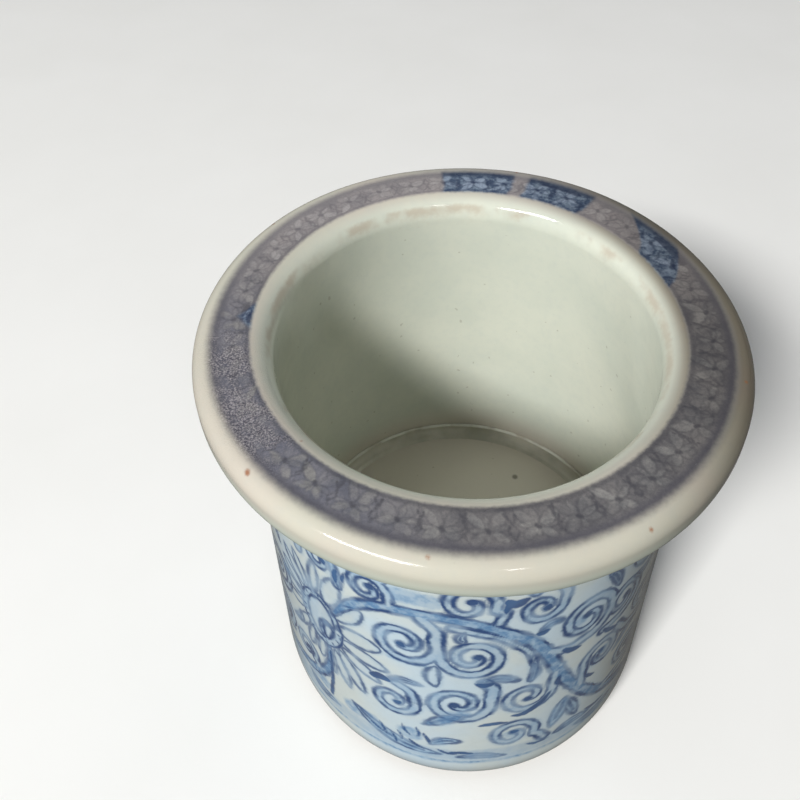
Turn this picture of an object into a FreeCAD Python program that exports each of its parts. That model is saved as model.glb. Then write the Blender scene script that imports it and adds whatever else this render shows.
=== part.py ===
import FreeCAD, Part
import math
import os

# A porcelain brush pot: a round wall with a wide flat rim, on a base slab and a foot ring.
# The five members are thrown or rolled separately and luted together at rebated seats.
# Frame: millimetres, origin at the centre of the foot's resting plane, +Z up the pot's axis.

# Driving dimensions
HEIGHT = 118.0
RIM_RADIUS = 60.0
WALL_RADIUS = 50.0
MOUTH_RADIUS = 42.5
CAVITY_FOOT_RADIUS = 44.6
FLOOR_HEIGHT = 27.0

# Rim flange: a flat top between a rounded mouth and a fat rounded outer roll
ROLL_THICKNESS = 10.4
ROLL_TOP_ROUNDING = 3.6
ROLL_BOTTOM_ROUNDING = 4.8
MOUTH_ROUNDING = 6.0
RIM_UNDERSIDE = HEIGHT - ROLL_THICKNESS

# Spigot of the wall that locates the flange
SPIGOT_RADIUS = 47.5
SPIGOT_HEIGHT = 3.0

# Base slab, with the raised middle that the wall fits around
SLAB_UNDERSIDE = 12.0
WALL_SEAT_HEIGHT = 21.0

# Outer curve from the straight wall down to the foot
BASE_CURVE_RADIUS = 22.0
BASE_CURVE_TOP = 12.0

# Foot ring
FOOT_STEP_HEIGHT = 3.0
FOOT_RADIUS = 45.5
FOOT_EDGE_ROUNDING = 0.8
RECESS_RADIUS = 38.0
RECESS_DRAFT = 1.0

# Clay coil pressed into the inside corner of floor and wall
COIL_CURVE_RADIUS = 2.2
COIL_LIP_HEIGHT = 0.6
COIL_TOP_LAND = 0.5

PARTS_FOLDER = "parts"


def outer_radius(height):
    """Radius of the pot's outside below the rim: straight, then curving in to the foot."""
    if height >= BASE_CURVE_TOP:
        return WALL_RADIUS
    drop = BASE_CURVE_TOP - height
    return WALL_RADIUS - BASE_CURVE_RADIUS + math.sqrt(BASE_CURVE_RADIUS**2 - drop**2)


def cavity_radius(height):
    """Radius of the hollow inside the wall: it widens a little from the mouth to the slab."""
    share = (height - WALL_SEAT_HEIGHT) / (RIM_UNDERSIDE - WALL_SEAT_HEIGHT)
    return CAVITY_FOOT_RADIUS + (MOUTH_RADIUS - CAVITY_FOOT_RADIUS) * min(share, 1.0)


def point(radius, height):
    """A point of the half section, in the XZ plane."""
    return FreeCAD.Vector(radius, 0, height)


def line(start, end):
    """A straight edge of the half section, from one (radius, height) to another."""
    return Part.LineSegment(point(*start), point(*end)).toShape()


def base_curve(top, bottom):
    """The outside's circular arc between two heights, top first."""
    middle = (top + bottom) / 2
    ends = [point(outer_radius(height), height) for height in (top, middle, bottom)]
    return Part.Arc(*ends).toShape()


def rounding(centre, radius, start_deg, end_deg):
    """An arc of a rounded edge about a centre, from one angle to another."""
    def on_arc(angle_deg):
        angle = math.radians(angle_deg)
        return point(centre[0] + radius * math.cos(angle), centre[1] + radius * math.sin(angle))

    middle_deg = (start_deg + end_deg) / 2
    return Part.Arc(on_arc(start_deg), on_arc(middle_deg), on_arc(end_deg)).toShape()


def turned(edges):
    """The solid that a closed half section sweeps about the pot's axis."""
    face = Part.Face(Part.Wire(edges))
    return face.revolve(FreeCAD.Vector(0, 0, 0), FreeCAD.Vector(0, 0, 1), 360)


def rim_flange():
    """Flat ring with a rounded mouth inside and a fat roll outside, recessed for the spigot."""
    mouth_centre = (MOUTH_RADIUS + MOUTH_ROUNDING, HEIGHT - MOUTH_ROUNDING)
    roll_top = (RIM_RADIUS - ROLL_TOP_ROUNDING, HEIGHT - ROLL_TOP_ROUNDING)
    roll_bottom = (RIM_RADIUS - ROLL_BOTTOM_ROUNDING, RIM_UNDERSIDE + ROLL_BOTTOM_ROUNDING)
    seat = RIM_UNDERSIDE + SPIGOT_HEIGHT
    return turned([
        line((MOUTH_RADIUS, seat), (MOUTH_RADIUS, mouth_centre[1])),
        rounding(mouth_centre, MOUTH_ROUNDING, 180, 90),
        line((mouth_centre[0], HEIGHT), (roll_top[0], HEIGHT)),
        rounding(roll_top, ROLL_TOP_ROUNDING, 90, 0),
        line((RIM_RADIUS, roll_top[1]), (RIM_RADIUS, roll_bottom[1])),
        rounding(roll_bottom, ROLL_BOTTOM_ROUNDING, 0, -90),
        line((roll_bottom[0], RIM_UNDERSIDE), (SPIGOT_RADIUS, RIM_UNDERSIDE)),
        line((SPIGOT_RADIUS, RIM_UNDERSIDE), (SPIGOT_RADIUS, seat)),
        line((SPIGOT_RADIUS, seat), (MOUTH_RADIUS, seat)),
    ])


def pot_wall():
    """Thrown cylinder, turned down at the top to a spigot that enters the flange."""
    spigot_top = RIM_UNDERSIDE + SPIGOT_HEIGHT
    cavity_foot = cavity_radius(WALL_SEAT_HEIGHT)
    return turned([
        line((cavity_foot, WALL_SEAT_HEIGHT), (MOUTH_RADIUS, RIM_UNDERSIDE)),
        line((MOUTH_RADIUS, RIM_UNDERSIDE), (MOUTH_RADIUS, spigot_top)),
        line((MOUTH_RADIUS, spigot_top), (SPIGOT_RADIUS, spigot_top)),
        line((SPIGOT_RADIUS, spigot_top), (SPIGOT_RADIUS, RIM_UNDERSIDE)),
        line((SPIGOT_RADIUS, RIM_UNDERSIDE), (WALL_RADIUS, RIM_UNDERSIDE)),
        line((WALL_RADIUS, RIM_UNDERSIDE), (WALL_RADIUS, WALL_SEAT_HEIGHT)),
        line((WALL_RADIUS, WALL_SEAT_HEIGHT), (cavity_foot, WALL_SEAT_HEIGHT)),
    ])


def base_slab():
    """Thick floor slab: its edge carries the wall and its raised middle is the pot's floor."""
    floor_edge = cavity_radius(FLOOR_HEIGHT)
    seat_edge = cavity_radius(WALL_SEAT_HEIGHT)
    return turned([
        line((0, SLAB_UNDERSIDE), (0, FLOOR_HEIGHT)),
        line((0, FLOOR_HEIGHT), (floor_edge, FLOOR_HEIGHT)),
        line((floor_edge, FLOOR_HEIGHT), (seat_edge, WALL_SEAT_HEIGHT)),
        line((seat_edge, WALL_SEAT_HEIGHT), (WALL_RADIUS, WALL_SEAT_HEIGHT)),
        line((WALL_RADIUS, WALL_SEAT_HEIGHT), (WALL_RADIUS, SLAB_UNDERSIDE)),
        line((WALL_RADIUS, SLAB_UNDERSIDE), (0, SLAB_UNDERSIDE)),
    ])


def foot_ring():
    """Ring under the slab: its outside curves in, then steps in again to the bare foot."""
    slab_edge = outer_radius(SLAB_UNDERSIDE)
    step_edge = outer_radius(FOOT_STEP_HEIGHT)
    recess_top = RECESS_RADIUS - RECESS_DRAFT
    outer_edge = (FOOT_RADIUS - FOOT_EDGE_ROUNDING, FOOT_EDGE_ROUNDING)
    inner_edge = (RECESS_RADIUS + FOOT_EDGE_ROUNDING, FOOT_EDGE_ROUNDING)
    return turned([
        line((recess_top, SLAB_UNDERSIDE), (slab_edge, SLAB_UNDERSIDE)),
        base_curve(SLAB_UNDERSIDE, FOOT_STEP_HEIGHT),
        line((step_edge, FOOT_STEP_HEIGHT), (FOOT_RADIUS, FOOT_STEP_HEIGHT)),
        line((FOOT_RADIUS, FOOT_STEP_HEIGHT), (FOOT_RADIUS, outer_edge[1])),
        rounding(outer_edge, FOOT_EDGE_ROUNDING, 0, -90),
        line((outer_edge[0], 0), (inner_edge[0], 0)),
        rounding(inner_edge, FOOT_EDGE_ROUNDING, 270, 180),
        line((RECESS_RADIUS, inner_edge[1]), (recess_top, SLAB_UNDERSIDE)),
    ])


def seam_coil():
    """Coil smoothed into the inside corner: a low lip on the floor and a hollow curve up."""
    lip_top = FLOOR_HEIGHT + COIL_LIP_HEIGHT
    coil_top = lip_top + COIL_CURVE_RADIUS
    curve_end = cavity_radius(coil_top) - COIL_TOP_LAND
    inner = curve_end - COIL_CURVE_RADIUS
    return turned([
        line((inner, FLOOR_HEIGHT), (inner, lip_top)),
        rounding((inner, coil_top), COIL_CURVE_RADIUS, -90, 0),
        line((curve_end, coil_top), (cavity_radius(coil_top), coil_top)),
        line((cavity_radius(coil_top), coil_top), (cavity_radius(FLOOR_HEIGHT), FLOOR_HEIGHT)),
        line((cavity_radius(FLOOR_HEIGHT), FLOOR_HEIGHT), (inner, FLOOR_HEIGHT)),
    ])


MEMBERS = {
    "rim_flange": rim_flange,
    "pot_wall": pot_wall,
    "base_slab": base_slab,
    "foot_ring": foot_ring,
    "seam_coil": seam_coil,
}

os.makedirs(PARTS_FOLDER, exist_ok=True)
for name, make in MEMBERS.items():
    shape = make()
    if not shape.isValid() or len(shape.Solids) != 1:
        raise RuntimeError(f"{name} is not one valid solid")
    shape.exportStep(f"{PARTS_FOLDER}/{name}.step")
    print(name, "volume cm3", round(shape.Volume / 1000, 2))
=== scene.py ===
import math

import bmesh
import bpy
import numpy as np
from mathutils import Matrix, Vector


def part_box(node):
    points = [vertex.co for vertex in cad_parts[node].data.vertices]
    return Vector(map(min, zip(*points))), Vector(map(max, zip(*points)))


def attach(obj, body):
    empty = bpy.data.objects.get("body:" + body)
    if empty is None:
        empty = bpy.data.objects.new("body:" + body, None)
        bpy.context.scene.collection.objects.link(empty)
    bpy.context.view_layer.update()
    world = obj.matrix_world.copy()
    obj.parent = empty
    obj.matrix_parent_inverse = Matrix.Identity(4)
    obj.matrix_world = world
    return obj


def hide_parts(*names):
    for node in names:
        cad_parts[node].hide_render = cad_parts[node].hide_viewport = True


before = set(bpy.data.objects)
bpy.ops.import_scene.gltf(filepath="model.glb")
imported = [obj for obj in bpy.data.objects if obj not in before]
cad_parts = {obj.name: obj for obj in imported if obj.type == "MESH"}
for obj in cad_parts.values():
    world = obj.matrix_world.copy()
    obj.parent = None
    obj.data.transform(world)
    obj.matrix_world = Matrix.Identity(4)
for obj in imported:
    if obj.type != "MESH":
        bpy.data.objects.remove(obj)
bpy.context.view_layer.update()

# A glazed porcelain brush pot with cobalt scrollwork on its wall and a printed band on its rim.
# Lengths are in millimetres here, and become metres when a mesh or a lamp is made.
# Painted shapes use two coordinates: across, the distance round the surface to the right of the
# front, and up, the height above the foot (on the wall) or the radius (on the flat of the rim).

MM = 0.001
BODY = "root"


# ---------------- sizes from the frame

def node_box(node):
    """The lowest and highest corners of a CAD node, in millimetres to a tenth."""
    return [np.round(np.array(corner) / MM, 1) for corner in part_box(node)]


rim_low, rim_high = node_box("rim_flange")
wall_low, wall_high = node_box("pot_wall")
slab_low, slab_high = node_box("base_slab")
coil_high = node_box("seam_coil")[1]

HEIGHT = rim_high[2]
RIM_RADIUS = rim_high[0]
RIM_UNDERSIDE = rim_low[2]
WALL_RADIUS = wall_high[0]
WALL_FOOT = wall_low[2]
SPIGOT_TOP = wall_high[2]
SLAB_UNDERSIDE = slab_low[2]
FLOOR_HEIGHT = slab_high[2]
COIL_TOP = coil_high[2]

MOUTH_RADIUS = 42.5
CAVITY_FOOT_RADIUS = 44.6
MOUTH_ROUNDING = 6.0
ROLL_TOP_ROUNDING = 3.6
ROLL_BOTTOM_ROUNDING = 4.8
SPIGOT_RADIUS = 47.5
COVE_RADIUS = 1.6
BASE_CURVE_RADIUS = 22.0
FOOT_STEP_HEIGHT = 3.0
FOOT_RADIUS = 45.5
FOOT_EDGE_ROUNDING = 0.8
RECESS_RADIUS = 38.0
RECESS_DRAFT = 1.0
COIL_CURVE_RADIUS = 2.2
COIL_LIP_HEIGHT = 0.6
COIL_TOP_LAND = 0.5
COIL_BEAD_RADIUS = 0.55
COIL_LIP_RUN = 0.9

WALL_GIRTH = 2 * math.pi * WALL_RADIUS
BAND_RADIUS = 51.4
BAND_GIRTH = 2 * math.pi * BAND_RADIUS

WALL_COLUMNS = 524
RIM_COLUMNS = 900
PLAIN_COLUMNS = 260


def cavity_radius(height):
    """Radius of the hollow inside the wall."""
    share = (height - WALL_FOOT) / (RIM_UNDERSIDE - WALL_FOOT)
    return CAVITY_FOOT_RADIUS + (MOUTH_RADIUS - CAVITY_FOOT_RADIUS) * min(share, 1.0)


def foot_curve_radius(height):
    """Radius of the outside where it curves in to the foot."""
    drop = SLAB_UNDERSIDE - height
    return WALL_RADIUS - BASE_CURVE_RADIUS + math.sqrt(BASE_CURVE_RADIUS**2 - drop**2)


# ---------------- turned meshes

def straight(start, end, step):
    """Points from one (radius, height) towards another, about a step apart, without the last."""
    count = max(1, round(math.dist(start, end) / step))
    share = np.arange(count)[:, None] / count
    return np.array(start) + (np.array(end) - np.array(start)) * share


def rounding(centre, radius, start_deg, end_deg, step):
    """Points of a rounded edge about a centre, about a step apart, without the last."""
    count = max(2, round(radius * math.radians(abs(end_deg - start_deg)) / step))
    angle = np.radians(start_deg + (end_deg - start_deg) * np.arange(count) / count)
    return np.column_stack([centre[0] + radius * np.cos(angle), centre[1] + radius * np.sin(angle)])


def smooth_share(value, start, end):
    """0 before start and 1 after end, with a soft change between."""
    share = np.clip((value - start) / (end - start), 0, 1)
    return share * share * (3 - 2 * share)


# How far the rim leans off the foot, and the mouth off the rim, to the right and away from the front
RIM_LEAN = np.array([-1.3, 0.4])
MOUTH_LEAN = np.array([-0.6, 0.6])

# The mouth's own lean is whole inside the first radius and above the last height, with a soft start
MOUTH_LEAN_RADII = (47, 50)
MOUTH_LEAN_HEIGHTS = (30, 100)

# Waves that put the rim out of round and out of level: size, number round the rim, phase (rad)
OUT_OF_ROUND = [(0.20, 2, 1.1), (0.09, 3, 0.4)]
OUT_OF_LEVEL = [(0.18, 1, 2.2), (0.10, 2, 0.3), (0.06, 5, 0.0)]

# A small wave of the same kind that winds round the pot: the height (mm) over which it turns 1 rad
RIPPLE = (0.05, 5, 2.0)
RIPPLE_CLIMB = 31


def lean(radius, height):
    """How far a turned point stands off the foot's axis."""
    radius, height = np.asarray(radius), np.asarray(height)
    full, none = MOUTH_LEAN_RADII
    inside = smooth_share(-radius, -none, -full) * smooth_share(height, *MOUTH_LEAN_HEIGHTS)
    return height[..., None] / HEIGHT * RIM_LEAN + inside[..., None] * MOUTH_LEAN


def waves(table, angle):
    """The sum of several waves at an angle round the pot."""
    return sum(size * np.cos(count * angle + phase) for size, count, phase in table)


def hand_thrown(radius, height, angle):
    """Where a turned point really lies: the wheel leaves a pot a little out of true.

    Nothing moves at the foot, so the pot stands flat, and every piece follows the same rule,
    so their joints stay closed.
    """
    share = height / HEIGHT
    spread = radius / WALL_RADIUS
    size, count, phase = RIPPLE
    ripple = size * np.cos(count * angle + phase + height / RIPPLE_CLIMB)
    new_radius = radius + share * spread * (waves(OUT_OF_ROUND, angle) + ripple)
    return new_radius, height + share**2 * spread * waves(OUT_OF_LEVEL, angle)


SHARP_EDGE_DEG = 48


class Turned:
    """A piece turned on the wheel: rows of points along a half section, columns round the axis.

    The section runs anticlockwise, with radius to the right and height up, as a list of
    stretches. Each is (name of its glaze, points), or (name of its glaze, corner, step) for a
    straight run from a corner to where the next one starts. It is a loop, or ends on the axis.
    """

    def __init__(self, stretches, columns, on_axis=False):
        self.columns = columns
        self.on_axis = on_axis
        starts = [np.ravel(shape)[:2] for _, shape, *_ in stretches]
        runs = [straight(shape, end, *step) if step else shape
                for (_, shape, *step), end in zip(stretches, starts[1:] + starts[:1])]
        self.section = np.concatenate(runs)
        self.glaze_of_row = [glaze for (glaze, *_), run in zip(stretches, runs) for _ in run]
        self.angles = 2 * math.pi * np.arange(columns) / columns

    def rows_of(self, glaze):
        """The rows of points that faces with this glaze touch, with the one that ends a stretch."""
        starts = [row for row, name in enumerate(self.glaze_of_row) if name == glaze]
        return np.array(sorted({row + step for row in starts for step in (0, 1)}))

    def points(self):
        """Every point, row by row, in metres."""
        radius, height = self.section[:, :1], self.section[:, 1:]
        shift = lean(radius, height)
        radius, height = hand_thrown(radius, height, self.angles[None, :])
        across = radius * np.sin(self.angles) + shift[..., 0]
        along = -radius * np.cos(self.angles) + shift[..., 1]
        return np.stack([across, along, height], axis=-1).reshape(-1, 3) * MM

    def faces(self):
        """Quads between each row and the next, as (corners, row) lists."""
        rows = len(self.section)
        strips = rows - 1 if self.on_axis else rows
        column = np.arange(self.columns)
        beside = (column + 1) % self.columns
        quads = []
        for row in range(strips):
            above = (row + 1) % rows
            corners = [row * self.columns + column, row * self.columns + beside,
                       above * self.columns + beside, above * self.columns + column]
            quads.append(np.stack(corners, axis=-1))
        return np.concatenate(quads), np.repeat(np.arange(strips), self.columns)

    def build(self, name, glazes):
        """The finished object, with each glaze in a material slot of its own."""
        quads, row_of_face = self.faces()
        mesh = bpy.data.meshes.new(name)
        mesh.from_pydata(self.points().tolist(), [], quads.tolist())
        names = list(glazes)
        for glaze in names:
            mesh.materials.append(glazes[glaze])
        slots = np.array([names.index(glaze) for glaze in self.glaze_of_row])
        mesh.polygons.foreach_set("material_index", slots[row_of_face].astype(np.int32))
        piece = bpy.data.objects.new(name, mesh)
        bpy.context.scene.collection.objects.link(piece)
        mesh.shade_smooth()
        mesh.set_sharp_from_angle(angle=math.radians(SHARP_EDGE_DEG))
        return piece


def close_poles(mesh, turned):
    """Joins the points of each row that lies on the axis into one."""
    work = bmesh.new()
    work.from_mesh(mesh)
    work.verts.ensure_lookup_table()
    middle = []
    for row in np.nonzero(turned.section[:, 0] == 0)[0]:
        middle += work.verts[row * turned.columns:(row + 1) * turned.columns]
    bmesh.ops.remove_doubles(work, verts=middle, dist=0.01 * MM)
    work.to_mesh(mesh)
    work.free()


# ---------------- brushwork as distances

# Distance (mm) where nothing is painted, and how far round a stroke its distances are worked out
FAR = 9.0
REACH = 4.0

# Half width (mm) of the tips of leaves and petals
TIP = 0.02


def smooth_path(points, per_span=8):
    """A Catmull-Rom curve through the points."""
    points = np.array(points, float)
    ends = [2 * points[0] - points[1], *points, 2 * points[-1] - points[-2]]
    share = np.arange(per_span)[:, None] / per_span
    spans = []
    for before, start, end, after in zip(ends, ends[1:], ends[2:], ends[3:]):
        bend = 2 * before - 5 * start + 4 * end - after
        twist = 3 * start - before - 3 * end + after
        spans.append(start + 0.5 * ((end - before) * share + bend * share**2 + twist * share**3))
    return np.concatenate([*spans, points[-1:]])


def tapered(count, start, end):
    """Half widths that change evenly from one end of a stroke to the other."""
    return np.linspace(start, end, count)


def lens(count, half_width, fullness=0.8):
    """Half widths of a leaf or petal: full in the middle and pointed at both ends."""
    share = np.linspace(0, 1, count)
    return TIP + half_width * np.sin(math.pi * share) ** fullness


def write_attribute(mesh, name, values):
    """Stores a number for each point of a mesh."""
    attribute = mesh.attributes.new(name, "FLOAT", "POINT")
    attribute.data.foreach_set("value", values.ravel().astype(np.float32))


class Painting:
    """Signed distances from each point of a surface to the shapes brushed on it, by layer.

    A distance is negative inside a shape. The finest shapes are read from it as lines and fills
    by the glaze's nodes, so they stay sharp between the points of the mesh.
    """

    def __init__(self, columns, up, girth):
        self.columns = columns
        self.up = np.array(up, float)
        self.pitch = girth / columns
        self.distance = {}
        self.tone = {}

    def layer(self, name):
        """The distances and tones of a layer, empty when it is first asked for."""
        if name not in self.distance:
            self.distance[name] = np.full((len(self.up), self.columns), FAR)
            self.tone[name] = np.zeros((len(self.up), self.columns))
        return self.distance[name], self.tone[name]

    def window(self, low, high):
        """The rows and columns near a box, and the positions of those columns."""
        rows = np.nonzero((self.up > low[1] - REACH) & (self.up < high[1] + REACH))[0]
        first = math.floor((low[0] - REACH) / self.pitch)
        last = math.ceil((high[0] + REACH) / self.pitch)
        columns = np.arange(first, last + 1)
        return rows, columns % self.columns, columns * self.pitch

    def put(self, name, rows, columns, distance, tone):
        """Adds one shape's distances to a layer, with its tone where it is the nearest."""
        distances, tones = self.layer(name)
        cells = np.ix_(rows, columns)
        nearer = distance < distances[cells]
        distances[cells] = np.where(nearer, distance, distances[cells])
        tones[cells] = np.where(nearer, tone, tones[cells])

    def brush(self, name, path, half_widths, tone=0.5):
        """Adds a stroke along a path, as wide as its half widths say."""
        path = np.array(path, float)
        low, high = path.min(0) - max(half_widths), path.max(0) + max(half_widths)
        rows, columns, across = self.window(low, high)
        if not len(rows):
            return
        point = np.stack(np.broadcast_arrays(across[None, :], self.up[rows][:, None]), axis=-1)
        nearest = np.full(point.shape[:2], FAR)
        for start, end, width, next_width in zip(path, path[1:], half_widths, half_widths[1:]):
            span = end - start
            share = ((point - start) @ span / max(span @ span, 1e-9)).clip(0, 1)
            gap = np.linalg.norm(point - start - share[..., None] * span, axis=-1)
            nearest = np.minimum(nearest, gap - width - share * (next_width - width))
        self.put(name, rows, columns, nearest, tone)

    def store(self, mesh, rows, row_count):
        """Writes each layer to the mesh as two attributes, NAME and NAME_tone."""
        for name in self.distance:
            for suffix, values, empty in (("", self.distance, FAR), ("_tone", self.tone, 0.0)):
                whole = np.full((row_count, self.columns), empty, np.float32)
                whole[rows] = values[name]
                write_attribute(mesh, name + suffix, whole)


# ---------------- the scroll on the wall

UNIT_COUNT = 3
UNIT_SPACING = WALL_GIRTH / UNIT_COUNT

VINE = [(-33.5, 68), (-30.5, 74), (-27, 78.5), (-22, 82), (-16, 83.7), (-8, 84), (-1, 82.3),
        (5, 78.5), (10.5, 73.5), (14, 68), (17, 60.5), (20, 52), (24, 43.5), (28, 36.5), (33, 30),
        (38, 26), (45, 22.8), (52, 23), (59, 26), (64, 32), (66.5, 40), (67.3, 48)]
VINE_SHARES = [0, 0.08, 0.5, 0.9, 1]
VINE_HALF_WIDTHS = [0.7, 1.5, 1.65, 1.5, 0.7]
VINE_BRANCH = [(-6, 80.5), (0, 78.5), (5, 75.5), (11, 68), (12.6, 60), (12.2, 55)]

# Petals of the flower, from base to tip, with their widths
PETALS = [
    ((-39.5, 70), (-38.5, 84), 3.2), ((-36, 69), (-32, 83), 5.4), ((-34, 66), (-26, 76), 5.6),
    ((-33, 62), (-22, 63), 6.2), ((-32.5, 57.5), (-20.5, 54.5), 5.2), ((-32.5, 54), (-22.5, 47), 4.2),
    ((-33.5, 52), (-27, 37), 4), ((-35, 50), (-31.4, 35), 3.2), ((-37, 49), (-36, 37), 2.8),
    ((-39, 50), (-40, 40), 3), ((-42, 52), (-44, 41), 3), ((-43.5, 54), (-48, 46), 3.4),
    ((-44, 58), (-52, 56), 3.6), ((-44.5, 62), (-53, 63), 3.8), ((-44, 65), (-52, 70), 3.6),
    ((-43, 68), (-50, 77), 3.4), ((-41.5, 69.5), (-46, 80), 3),
]

# Curled tendrils: centre, points that lead in, first radius and direction, turns (negative is
# clockwise), widest half width
TENDRILS = [
    ((-16.3, 70.8), [(-12.5, 82.4), (-9.2, 78)], 7.5, 25, -1.40, 1.55),
    ((-1.4, 68.2), [(-9, 78), (-9, 72)], 7, 195, 1.50, 1.50),
    ((-4, 46.2), [(1.6, 57), (3.6, 53.5)], 7.6, 15, -1.45, 1.55),
    ((-19.3, 41.6), [(-18.4, 50.5), (-15.2, 48.2)], 5.5, 20, -1.15, 1.35),
    ((11.8, 47), [(18.8, 57), (18, 50.5)], 6.2, -5, -1.20, 1.40),
    ((12.4, 86.2), [(16, 93.5), (17.4, 90)], 4.8, 10, -1.10, 1.20),
    ((-2.8, 90), [(3.6, 82.5), (4.6, 86.5)], 6, -20, 1.20, 1.25),
    ((24.4, 73.8), [(15.5, 65.5), (20.5, 63.8)], 7.8, 265, 1.55, 1.55),
    ((35.4, 70.5), [(30, 62.5), (36, 63.4)], 5.8, -50, 1.20, 1.30),
    ((31.8, 50.6), [(26.4, 39.5), (26.2, 45.5)], 5.8, 200, -1.25, 1.35),
    ((9.4, 27.8), [(18.2, 20.5), (16.4, 24)], 6, -20, 1.25, 1.35),
    ((-24, 87.4), [(-19.2, 84), (-19.2, 88)], 4.6, 15, 1.10, 1.15),
    ((-36.2, 87.2), [(-31.5, 81.5), (-31.6, 86)], 4.2, 0, 1.05, 1.10),
    ((44, 86), [(36.2, 93), (36.8, 88)], 6.6, 190, 1.35, 1.40),
    ((46.5, 59.5), [(36, 58), (39.4, 53.4)], 7, 240, 1.40, 1.45),
    ((43.5, 38), [(36.5, 28.5), (47, 30.6)], 6.2, -45, 1.35, 1.40),
    ((56.2, 88.5), [(62, 82.5), (62.4, 87)], 5.2, -15, 1.15, 1.25),
    ((55.8, 34), [(59.5, 25.5), (61, 30)], 4.6, -35, 1.10, 1.20),
    ((-13.5, 99.4), [(-20.6, 92.5), (-19.6, 96.5)], 4.2, 200, -1.10, 1.10),
    ((4.6, 99.6), [(10.6, 92.5), (10.2, 96.5)], 4, -10, 1.10, 1.10),
    ((22.8, 98), [(30.6, 89.5), (29.6, 94.5)], 4.8, -15, 1.20, 1.15),
    ((37.6, 99.6), [(31.6, 91.5), (32.4, 96.5)], 3.9, 205, -1.10, 1.05),
    ((53.6, 99.6), [(47, 92.5), (48, 96.5)], 4.2, 200, -1.10, 1.10),
    ((-29.6, 98.6), [(-36.6, 92.5), (-35, 96.5)], 4, 200, -1.10, 1.05),
]

# How much taller than wide a curl is, and the radius at its heart
TENDRIL_STRETCH = 1.16
TENDRIL_HEART = 1.2

# Leaves and buds: points along the middle, half width, depth of wash
LEAVES = [
    ([(-9.2, 63.5), (-10, 58.6), (-9.2, 53.6)], 1.7, 0.10),
    ([(-3.3, 79), (-4.2, 76.5), (-3, 74)], 1, 0.35),
    ([(0.5, 57), (5, 58.3), (9.5, 55.8)], 1.4, 0.55),
    ([(-20.5, 51), (-16.5, 53.2), (-12.3, 52.8)], 1.1, 0.45),
    ([(12, 63), (13.2, 58), (12.2, 54)], 0.8, 0.55),
    ([(-12, 33.2), (-7, 37.4), (-2.5, 40.5)], 1.9, 0.85),
    ([(-10.5, 22.5), (-7, 25.6), (-3, 26.2)], 1.5, 0.80),
    ([(22.5, 38.5), (21.5, 32), (19.5, 24.5)], 2.2, 0.70),
    ([(23, 37), (25, 31), (27.3, 24)], 1.7, 0.60),
    ([(12.5, 75.5), (15, 78.6), (18, 78)], 1.1, 0.75),
    ([(37, 45), (41, 49.5), (46, 50.5)], 1.3, 0.50),
    ([(50, 83), (49.5, 77), (51.5, 72)], 1.3, 0.45),
    ([(38, 76.5), (42, 74), (47, 75.5)], 1.3, 0.55),
    ([(52, 44), (55.5, 47), (56.5, 51)], 1.2, 0.40),
    ([(28, 88), (31, 84), (32.5, 79)], 1.3, 0.60),
    ([(-31, 28), (-24.5, 22.8), (-16, 18.8), (-8, 17.6)], 2.3, 0.70),
    ([(-3.5, 16.8), (2, 17.8), (8, 16.4)], 1.2, 0.60),
    ([(21, 19.5), (26, 21.4), (32, 19.6)], 1.5, 0.65),
    ([(28, 17.2), (34, 16.2), (41, 17.4)], 1.3, 0.55),
    ([(56, 20.5), (61, 17.8), (68, 17.6)], 1.4, 0.60),
    ([(-3.6, 104.4), (-4.4, 99.5), (-2.8, 95.4)], 1.4, 0.55),
    ([(13.2, 104), (13.8, 99.5), (16.4, 96)], 1.3, 0.60),
    ([(44.4, 104.2), (43.6, 99.5), (45.6, 95)], 1.4, 0.55),
    ([(-22.2, 104), (-23, 99), (-21.6, 95.6)], 1.3, 0.60),
]

VEINED_DEPTH = 0.2

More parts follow.
